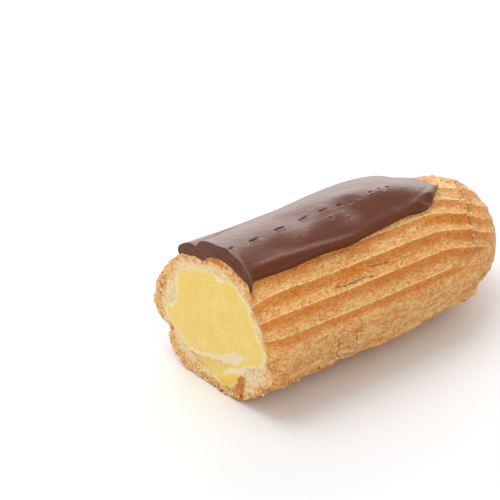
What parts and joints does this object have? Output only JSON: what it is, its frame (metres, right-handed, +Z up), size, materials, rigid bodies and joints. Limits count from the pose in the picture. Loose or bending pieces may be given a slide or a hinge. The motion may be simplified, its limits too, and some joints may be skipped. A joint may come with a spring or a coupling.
{
  "type": "chocolate eclair half",
  "caption": "Half of a chocolate eclair, cut square across: fluted choux case with a custard filling that shows at the cut, and a smooth chocolate glaze on top.",
  "frame": {"origin": "centre of the bounding box in plan, on the surface the half eclair lies on", "axes": "+Z up; +X along the eclair, from its cut face at -X to its rounded baked end at +X; -Y is the side whose flutes show beside the cut face"},
  "size_m": [0.08, 0.0442, 0.0349],
  "materials": {
    "choux": "matt baked crust, orange brown in the flutes and pale tan on their crests",
    "custard": "smooth set custard, soft sheen",
    "chocolate": "satin chocolate icing"
  },
  "bodies": {
    "root": {"choux_shell": "choux", "custard_filling": "custard", "chocolate_glaze": "chocolate"}
  },
  "joints": []
}
